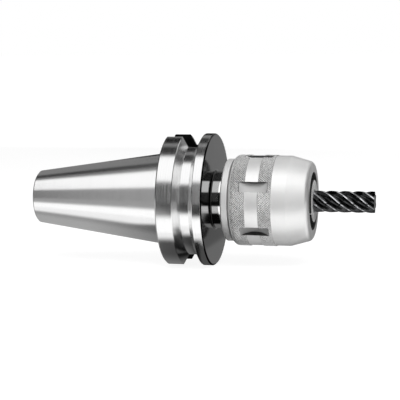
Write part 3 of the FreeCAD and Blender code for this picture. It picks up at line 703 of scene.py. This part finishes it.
def make_clamping_nut(material):
    """The nut: knurled, slotted for a hook spanner, coned and rounded to its opening."""
    arc_centre = NUT_FRONT - NOSE_ROUNDING
    cone_radius = BAND_RADIUS - (arc_centre - CONE_REAR) * math.tan(CONE_ANGLE)
    arc_height = cone_radius - NOSE_ROUNDING / math.cos(CONE_ANGLE)
    rear_centre = (NUT_REAR + NUT_REAR_ROUNDING, NUT_REAR_RADIUS)
    knurl_reach = NUT_REAR_ROUNDING - KNURL_DEPTH
    outline = arc(rear_centre, NUT_REAR_ROUNDING, math.pi, KNURL_START_ANGLE, segments=4)
    outline += arc(rear_centre, knurl_reach, KNURL_START_ANGLE, math.pi / 2, segments=2)
    outline += knurl_rows(REAR_KNURL)[1:]
    outline += [(REAR_KNURL[1] + KNURL_EDGE, BAND_RADIUS), (FRONT_KNURL[0] - KNURL_EDGE, BAND_RADIUS)]
    outline += knurl_rows(FRONT_KNURL)
    outline += [(FRONT_KNURL[1] + KNURL_EDGE, BAND_RADIUS), (CONE_REAR, BAND_RADIUS)]
    cone_end = arc_centre + NOSE_ROUNDING * math.sin(CONE_ANGLE)
    cone_end_radius = arc_height + NOSE_ROUNDING * math.cos(CONE_ANGLE)
    outline += [(cone_end - HOLD, cone_end_radius + HOLD * math.tan(CONE_ANGLE))]
    outline += arc((arc_centre, arc_height), NOSE_ROUNDING, math.pi / 2 - CONE_ANGLE, 0, segments=12)
    outline += [
        (NUT_FRONT, OPENING_RADIUS + OPENING_CHAMFER),
        (NUT_FRONT - OPENING_CHAMFER, OPENING_RADIUS),
        (NUT_BORE_REAR, OPENING_RADIUS),
        (NUT_BORE_REAR, NUT_RACE_FRONT_RADIUS),
        (NUT_RACE_REAR, NUT_RACE_REAR_RADIUS),
        (NUT_RACE_REAR, NUT_LAND_RADIUS),
        *ring_groove(RETAINING_RING, NUT_LAND_RADIUS, -RETAINING_RING_DEPTH),
        (COUNTERBORE_FRONT, NUT_LAND_RADIUS),
        (COUNTERBORE_FRONT, COUNTERBORE_RADIUS),
        (NUT_REAR, COUNTERBORE_RADIUS),
    ]
    nut = turned("clamping_nut_knurled", outline, KNURL_STEPS)
    first_row = rear_centre[0] + knurl_reach * math.cos(KNURL_START_ANGLE)
    roll_knurl(nut, (first_row, REAR_KNURL[1]))
    roll_knurl(nut, FRONT_KNURL)
    deselect_all()
    place = (SPANNER_CENTRE * MM, 0, (SPANNER_FLOOR + SPANNER_RADIUS) * MM)
    sizes = {"vertices": SPANNER_STEPS, "radius": SPANNER_RADIUS * MM, "depth": SPANNER_WIDTH * MM}
    bpy.ops.mesh.primitive_cylinder_add(location=place, rotation=(math.pi / 2, 0, 0), **sizes)
    cutter = bpy.context.object
    bpy.ops.object.transform_apply(location=True, rotation=True, scale=True)
    cut_away(nut, round_axis(cutter, SPANNER_SLOTS, SPANNER_TURN))
    finish_piece(nut, material, "nut", "clamping_nut", slot="satin_steel")


def make_collet(material):
    """The straight collet, slit from both ends."""
    outline = [
        (COLLET_REAR, COLLET_BORE),
        (COLLET_REAR, COLLET_RADIUS - COLLET_CHAMFER),
        (COLLET_REAR + COLLET_CHAMFER, COLLET_RADIUS),
        (COLLET_FRONT - COLLET_CHAMFER, COLLET_RADIUS),
        (COLLET_FRONT, COLLET_RADIUS - COLLET_CHAMFER),
        (COLLET_FRONT, COLLET_BORE + COLLET_CHAMFER),
        (COLLET_FRONT - COLLET_CHAMFER, COLLET_BORE),
    ]
    collet = turned("straight_collet_slit", outline)
    half, beyond = SLIT_WIDTH / 2, COLLET_RADIUS + CLEAR
    low, high = (COLLET_FRONT - SLIT_LENGTH, -half, 0), (COLLET_FRONT + CLEAR, half, beyond)
    front = block("front_slit_cutter", low, high)
    cut_away(collet, round_axis(front, SLITS))
    low, high = (COLLET_REAR - CLEAR, -half, 0), (COLLET_REAR + SLIT_LENGTH, half, beyond)
    rear = block("rear_slit_cutter", low, high)
    cut_away(collet, round_axis(rear, SLITS, math.pi / SLITS))
    finish_piece(collet, material, "chuck", "straight_collet", slot="ground_steel")


def make_end_mill(material):
    """Right-hand cutter, drawn out of its shank one short twist at a time."""
    corners = FLUTES * len(TOOTH)
    deselect_all()
    quarter_turn = (0, math.pi / 2, 0)
    bpy.ops.mesh.primitive_circle_add(vertices=corners, radius=MILL_RADIUS * MM, rotation=quarter_turn)
    mill = bpy.context.object
    mill.name = mill.data.name = "end_mill_fluted"
    bpy.ops.object.transform_apply(location=True, rotation=True, scale=True)
    mesh = mill.data
    teeth = {}
    for vertex in mesh.vertices:
        angle = math.atan2(vertex.co.z, vertex.co.y) % FULL_TURN
        teeth[vertex.index] = round(angle / FULL_TURN * corners) % len(TOOTH)
    layer = mesh.attributes.new("tooth_place", "INT", "POINT")
    for vertex in mesh.vertices:
        layer.data[vertex.index].value = teeth[vertex.index]
    edit(mill)
    bpy.ops.mesh.select_mode(type="EDGE")
    bpy.ops.mesh.select_all(action="SELECT")
    bpy.ops.transform.translate(value=(MILL_REAR * MM, 0, 0))
    for length in (MILL_CHAMFER, FLUTE_START - MILL_REAR - MILL_CHAMFER):
        bpy.ops.mesh.extrude_region_move(TRANSFORM_OT_translate={"value": (length * MM, 0, 0)})
    steps = round((MILL_TIP - FLUTE_START) / FLUTE_STEP)
    stride = (MILL_TIP - FLUTE_START) / steps
    twist = -FULL_TURN * stride / FLUTE_LEAD
    depth = 0.0
    for index in range(steps):
        along = FLUTE_START + stride * (index + 1)
        bpy.ops.mesh.extrude_region_move(TRANSFORM_OT_translate={"value": (stride * MM, 0, 0)})
        centre = (along * MM, 0, 0)
        bpy.ops.transform.rotate(value=twist, orient_axis="X", center_override=centre)
        grown = min(1.0, (along - FLUTE_START) / (FLUTE_FULL - FLUTE_START)) * FLUTE_DEPTH
        if grown > depth:
            sink_flutes(mill, along, depth, grown)
            depth = grown
    bpy.ops.mesh.edge_face_add()
    for inwards, deeper in END_HOLLOW:
        bpy.ops.mesh.inset(thickness=inwards * MM)
        bpy.ops.transform.translate(value=(-deeper * MM, 0, 0))
    pick(mill, "EDGE", lambda edge: edge.is_boundary)
    bpy.ops.mesh.edge_face_add()
    rear = (MILL_RADIUS - MILL_CHAMFER) / MILL_RADIUS
    bpy.ops.transform.resize(value=(1, rear, rear), center_override=(MILL_REAR * MM, 0, 0))
    bpy.ops.mesh.select_all(action="SELECT")
    bpy.ops.mesh.normals_make_consistent(inside=False)
    leave_edit()
    mill.data.attributes.remove(mill.data.attributes["tooth_place"])
    finish_piece(mill, material, "chuck", "end_mill", slot="cutter_steel")


def sink_flutes(mill, along, depth, grown):
    """Draws each place of the newest section in to its share of the flute's depth."""
    for place, (_, drop) in enumerate(TOOTH):
        before, after = MILL_RADIUS - depth * drop, MILL_RADIUS - grown * drop
        mesh = bmesh.from_edit_mesh(mill.data)
        layer = mesh.verts.layers.int["tooth_place"]
        for vertex in mesh.verts:
            vertex.select_set(abs(vertex.co.x / MM - along) < TINY and vertex[layer] == place)
        bmesh.update_edit_mesh(mill.data)
        share = after / before
        bpy.ops.transform.resize(value=(1, share, share), center_override=(along * MM, 0, 0))
    mesh = bmesh.from_edit_mesh(mill.data)
    bpy.ops.mesh.select_mode(type="EDGE")
    for edge in mesh.edges:
        edge.select_set(all(abs(vertex.co.x / MM - along) < TINY for vertex in edge.verts))
    bmesh.update_edit_mesh(mill.data)


def dress_node(name, material):
    """Gives a node that stays as the frame has it its finish."""
    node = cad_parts[name]
    if not node.material_slots:
        node.data.materials.append(material)
    for slot in node.material_slots:
        slot.material = material


ground_steel = make_chuck_steel()
ring_steel = make_satin_steel("dust_ring_satin_steel", 0.95, 0.56)
nut_steel = make_nut_steel()
collet_steel = make_collet_steel()
rubber = make_rubber()

make_chuck_body(ground_steel)
make_dust_ring(ring_steel)
make_clamping_nut(nut_steel)
make_collet(collet_steel)
make_end_mill(make_cutter_finish())

spring_steel = make_plain_steel("ring_spring_steel", 0.30, 0.42, 0.30)
screw_steel = make_plain_steel("screw_dark_steel", 0.22, 0.34, 0.34)
roller_steel = make_plain_steel("roller_bright_steel", 0.75, 0.88, 0.08)
brass = make_plain_steel("cage_brass", 0.8, 0.95, 0.26, BRASS_TINT)
for node in ("dust_ring_snap_ring", "nut_retaining_ring", "cage_stop_ring"):
    dress_node(node, spring_steel)
for node in ("shoulder_seal_ring", "spigot_seal_ring", "preset_seal_ring", "front_wiper_seal"):
    dress_node(node, rubber)
for row in range(1, 5):
    dress_node("needle_rollers_row_%d" % row, roller_steel)
dress_node("roller_cage", brass)
dress_node("preset_screw", screw_steel)

# The studio. The chuck lies on a white table; a tent round it carries the light and the dark flags.
FLOOR_Z = cad_bounds[0][2]
TENT_RADIUS, TENT_LENGTH, TENT_SIDES = 1.1, 3.0, 96
FLOOR_REACH = 30.0
FRONT_CARD_EDGE, REAR_CARD_EDGE, CARD_REACH, CARD_LIFT = -122.0, -67.0, 1.12, 0.0004
TABLE_GLOW, ROOM_GLOW, BACKDROP_GLOW = 0.9, 0.5, 1.0
DEGREES = 180 / math.pi
NECK_MIDDLE = 45

# Stretches of the tent along the axis, in millimetres, and round it, in degrees from the camera's side.
SOFTBOX_LENGTH, SOFTBOX_HEIGHT = (-1050, 760), (35, 84)
GAP_HEIGHT, BELOW_AND_ABOVE = (-40, 35), (-40, 84)
OVERHEAD, STREAK_HEIGHT, STRIP_LOW, STRIP_HIGH = (60, 150), (97, 114), (107, 117), (138, 152)
ABOVE_THE_BACK = (-172, 168)
GAP_FLAG, REAR_FLAG, SIDE_FLAG, END_FLAG = (-350, -145), (-400, -110), (230, 365), (-850, -950)
NUT_SIDE, FRONT_END, STREAK_END, LOW_BACK = (-155, -105), (620, 800), (-400, -500), (0, 100)


def only_for(thing, *rays):
    """Lets a studio surface be seen by the named kinds of ray and by no others."""
    for ray in ("camera", "diffuse", "glossy", "transmission", "volume_scatter", "shadow"):
        setattr(thing, "visible_" + ray, ray in rays)


def emission_finish(name, grey_of):
    material, finish = new_finish(name)
    glow = finish.node("Emission", None, {"Color": grey_of(finish), "Strength": 1.0})
    finish.node("OutputMaterial", None, {"Surface": glow})
    return material


def tent_glow(finish):
    """Bright above and towards the camera, a dark gap at eye level, dim behind and at the ends."""
    _, along, across, up, _ = finish.place()
    height = finish.maths("ARCTAN2", up, 0 - across) * DEGREES
    front_end = finish.step(along, *FRONT_END)
    softbox = finish.band(height, *SOFTBOX_HEIGHT, 4) * finish.band(along, *SOFTBOX_LENGTH, 120)
    gap = finish.band(height, *GAP_HEIGHT, 4)
    behind = 1 - finish.band(height, *BELOW_AND_ABOVE, 4)
    gap_flag = finish.band(along, *GAP_FLAG, 15)
    rear_flag = finish.band(along, *REAR_FLAG, 25)
    nut_side = finish.step(along, *NUT_SIDE) * (1 - front_end)
    overhead = finish.band(height, *OVERHEAD, 6)
    streak = finish.band(height, *STREAK_HEIGHT, 4) * finish.step(along, *STREAK_END)
    strip = finish.band(height, *STRIP_LOW, 3) + finish.band(height, *STRIP_HIGH, 4)
    side_flag = finish.band(along, *SIDE_FLAG, 20)
    end_flag = finish.step(along, *END_FLAG)
    eye_level = 0.36 + 0.62 * nut_side - 0.355 * gap_flag - 0.24 * front_end - 0.28 * end_flag
    eye_level = eye_level * (1 - side_flag)
    dim = 0.22 + 0.52 * nut_side * overhead - 0.215 * rear_flag - 0.17 * streak
    dim = dim - 0.12 * front_end - 0.16 * end_flag
    low_back = finish.step(along, *LOW_BACK) * (1 - finish.band(height, *ABOVE_THE_BACK, 4))
    dim = dim * (1 - side_flag * overhead) + 0.14 * low_back
    lit = softbox * (1.12 + 0.10 * nut_side) + gap * eye_level
    return lit + behind * (dim + 0.22 * strip * rear_flag)


def make_tent():
    """The tent's skin: it gives light and reflections, and the camera looks through it."""
    deselect_all()
    sizes = {"vertices": TENT_SIDES, "radius": TENT_RADIUS, "depth": TENT_LENGTH}
    bpy.ops.mesh.primitive_cylinder_add(end_fill_type="NGON", rotation=(0, math.pi / 2, 0), **sizes)
    tent = bpy.context.object
    tent.name = "light_tent"
    bpy.ops.object.transform_apply(location=True, rotation=True, scale=True)
    tent.data.materials.append(emission_finish("tent_glow", tent_glow))
    only_for(tent, "diffuse", "glossy", "transmission")


def make_flag(name, near, far, glow):
    """A dark card just above the table, seen only in the metal's reflections."""
    deselect_all()
    bpy.ops.mesh.primitive_plane_add(size=1)
    card = bpy.context.object
    card.name = name
    bpy.ops.object.mode_set(mode="EDIT")
    bpy.ops.mesh.select_all(action="SELECT")
    bpy.ops.transform.resize(value=(TENT_LENGTH, abs(far - near), 1))
    bpy.ops.transform.translate(value=(0, (near + far) / 2, FLOOR_Z + CARD_LIFT))
    leave_edit()
    card.data.materials.append(emission_finish(name + "_finish", glow))
    only_for(card, "glossy")


def front_card_glow(finish):
    """Grey, with two dark flags fanning out from the neck, and white from the card's near edge on."""
    _, along, across, _, _ = finish.place()
    aside = finish.maths("ABSOLUTE", across)
    sideways = finish.maths("ARCTAN2", along - NECK_MIDDLE, aside) * DEGREES
    flag = finish.band(sideways, -20, -5, 3) + finish.band(sideways, 5, 20, 3)
    edge = finish.step(across, FRONT_CARD_EDGE - 45, FRONT_CARD_EDGE)
    return 0.36 - 0.355 * flag + (0.64 + 0.355 * flag) * edge


def rear_card_glow(finish):
    """Grey under the taper, black under the neck, lighter under the nut, and white at its near edge."""
    _, along, across, _, _ = finish.place()
    near_side = finish.step(across, 5, -5)
    under_nut = 0.46 * finish.band(along, 53, 160, 2) + 0.45 * finish.step(along, 112, 122)
    far_side = finish.step(along, 38, 39) * finish.step(along, 60, 66, 0.34, 0.20)
    under_nut = near_side * under_nut + far_side * finish.step(across, -5, 5)
    under_flange = finish.step(along, 28, 15) * finish.step(across, -32, -12, 0.05, 0.16)
    under_flange = under_flange + 0.07 * finish.band(along, 30, 38, 1)
    near = finish.step(along, -90, 28, 0.26, 0.004) + under_nut + under_flange
    far = finish.step(across, 150, 500)
    lag = finish.step(along, 0, -45, 0, 16) + finish.band(along, 12, 22, 1) * 8
    lag = lag + finish.band(along, 31, 39, 1) * 6 + finish.step(along, 56, 62, 0, 18)
    edge = finish.step(across - lag, REAR_CARD_EDGE + 20, REAR_CARD_EDGE + 7)
    return near * (1 - far) + 0.36 * far + (1 - near) * edge


def seen_by_eye(finish):
    """One for rays of the camera, of mirrors and of glass, and zero for the light that falls on things."""
    rays = finish.node("LightPath")
    kinds = ("Is Camera Ray", "Is Glossy Ray", "Is Transmission Ray")
    camera, glossy, through = (Wire(finish, rays.socket.node.outputs[kind]) for kind in kinds)
    return finish.maths("MINIMUM", camera + glossy + through, 1.0)


def make_table():
    """A white table that keeps the chuck's soft shadow."""
    deselect_all()
    bpy.ops.mesh.primitive_plane_add(size=FLOOR_REACH, location=(0, 0, FLOOR_Z))
    table = bpy.context.object
    table.name = "white_table"
    bpy.ops.object.transform_apply(location=True, rotation=True, scale=True)
    material, finish = new_finish("white_table")
    paper = finish.noise(finish.place()[0], 0.01)
    lit = finish.node("BsdfDiffuse", None, {"Color": finish.grey(0.24, 0.25, paper)})
    glow = finish.node("Emission", None, {"Color": WHITE, "Strength": seen_by_eye(finish) * TABLE_GLOW})
    both = finish.node("AddShader", None, {0: lit, 1: glow})
    finish.node("OutputMaterial", None, {"Surface": both})
    table.data.materials.append(material)


def make_sky():
    """The white backdrop, at half its strength as light on things."""
    world = bpy.data.worlds.new("studio_white")
    bpy.context.scene.world = world
    world.use_nodes = True
    finish = Finish(world.node_tree)
    strength = seen_by_eye(finish) * (BACKDROP_GLOW - ROOM_GLOW) + ROOM_GLOW
    background = finish.node("Background", None, {"Color": WHITE, "Strength": strength})
    finish.node("OutputWorld", None, {"Surface": background})


LAMP_SIZE, LAMP_WATTS = (0.9, 0.6), 6.5
LAMP_PLACE, LAMP_TARGET = (0.26, -0.45, 0.70), (0.08, 0, 0)


def make_lamp():
    """A soft box above the cutter's end, for the seals', the collet's and the table's own shading."""
    lamp = bpy.data.lights.new("soft_box", "AREA")
    lamp.shape = "RECTANGLE"
    lamp.size, lamp.size_y = LAMP_SIZE
    lamp.energy = LAMP_WATTS
    holder = bpy.data.objects.new("soft_box", lamp)
    bpy.context.collection.objects.link(holder)
    holder.location = LAMP_PLACE
    aim = Vector(LAMP_TARGET) - Vector(LAMP_PLACE)
    holder.rotation_euler = aim.to_track_quat("-Z", "Y").to_euler()
    holder.visible_glossy = False
    holder.visible_camera = False


# The camera stands to the right of square on and a little above the axis, with a long lens.
CAMERA_PLACE = (0.2639, -1.00602, 0.1193)
CAMERA_TURN, CAMERA_RISE, CAMERA_ROLL = math.radians(13.33), math.radians(6.62), math.radians(-0.51)
CAMERA_LENS, CAMERA_SENSOR = 123.3, 36.0


def make_camera():
    camera = bpy.data.cameras.new("photograph_camera")
    camera.lens = CAMERA_LENS
    camera.sensor_width = CAMERA_SENSOR
    camera.sensor_fit = "HORIZONTAL"
    camera.clip_start, camera.clip_end = 0.01, 100
    holder = bpy.data.objects.new("photograph_camera", camera)
    bpy.context.collection.objects.link(holder)
    holder.location = CAMERA_PLACE
    level = Euler((math.pi / 2 - CAMERA_RISE, 0, CAMERA_TURN)).to_matrix()
    holder.rotation_euler = (level @ Matrix.Rotation(CAMERA_ROLL, 3, "Z")).to_euler()
    bpy.context.scene.camera = holder


make_table()
make_tent()
make_flag("front_card", FRONT_CARD_EDGE * MM, -CARD_REACH, front_card_glow)
make_flag("rear_card", REAR_CARD_EDGE * MM, CARD_REACH, rear_card_glow)
make_lamp()
make_sky()
make_camera()
bpy.context.scene.view_settings.view_transform = "Standard"
